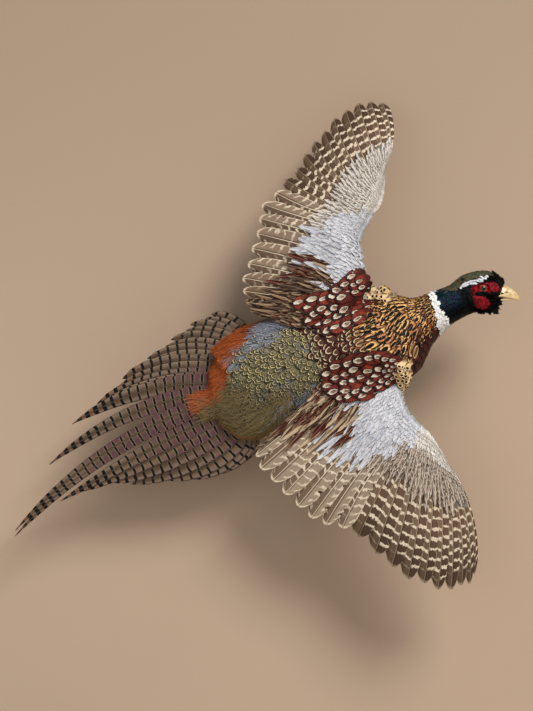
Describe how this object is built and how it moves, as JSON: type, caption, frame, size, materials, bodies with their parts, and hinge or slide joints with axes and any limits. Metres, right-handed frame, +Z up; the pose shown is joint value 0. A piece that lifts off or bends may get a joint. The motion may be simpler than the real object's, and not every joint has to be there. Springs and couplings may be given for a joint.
{
  "type": "taxidermy pheasant",
  "caption": "Cock ring-necked pheasant mounted in flight, wings spread and tail fanned, its back to the viewer, hung on a small wall plate with short rods.",
  "frame": {"origin": "centre of the back face of the wall plate", "axes": "+Y points into the wall along the plate's outward normal, +X along the bird's heading, +Z up"},
  "size_m": [0.7589, 0.1848, 0.7365],
  "materials": {
    "body_plumage": "feathers, olive grey rump, chestnut shoulders, golden mantle with black marks",
    "neck_plumage": "short glossy feathers, black with blue and green sheen",
    "collar": "white feathers",
    "wattle": "red bare skin with small bumps",
    "bill": "pale horn, half gloss",
    "eye": "glass eye, orange-brown iris, black pupil",
    "covert_plumage": "pale blue-grey wing coverts",
    "flight_feathers": "grey-brown vanes with cream bars and pale shafts",
    "tail_feathers": "olive-brown vanes with black bars and mauve edges",
    "leg_scales": "grey-brown scales",
    "hanger_steel": "bare steel"
  },
  "bodies": {
    "root": {"bill_lower": "bill", "bill_upper": "bill", "eye_left": "eye", "eye_right": "eye", "foot_left": "leg_scales", "foot_right": "leg_scales", "head": "neck_plumage", "neck": "neck_plumage", "neck_ring": "collar", "stand_rod_front": "hanger_steel", "stand_rod_rear": "hanger_steel", "stand_wall_plate": "hanger_steel", "tail_left_1": "tail_feathers", "tail_left_2": "tail_feathers", "tail_left_3": "tail_feathers", "tail_left_4": "tail_feathers", "tail_left_5": "tail_feathers", "tail_left_6": "tail_feathers", "tail_left_7": "tail_feathers", "tail_left_8": "tail_feathers", "tail_left_9": "tail_feathers", "tail_right_1": "tail_feathers", "tail_right_2": "tail_feathers", "tail_right_3": "tail_feathers", "tail_right_4": "tail_feathers", "tail_right_5": "tail_feathers", "tail_right_6": "tail_feathers", "tail_right_7": "tail_feathers", "tail_right_8": "tail_feathers", "tail_right_9": "tail_feathers", "tarsus_left": "leg_scales", "tarsus_right": "leg_scales", "thigh_left": "body_plumage", "thigh_right": "body_plumage", "trunk": "body_plumage", "wattle_left": "wattle", "wattle_right": "wattle", "wing_left_arm": "covert_plumage", "wing_left_hand": "covert_plumage", "wing_left_primaries": "flight_feathers", "wing_left_secondaries": "flight_feathers", "wing_left_tertials": "flight_feathers", "wing_right_arm": "covert_plumage", "wing_right_hand": "covert_plumage", "wing_right_primaries": "flight_feathers", "wing_right_secondaries": "flight_feathers", "wing_right_tertials": "flight_feathers"}
  },
  "joints": []
}
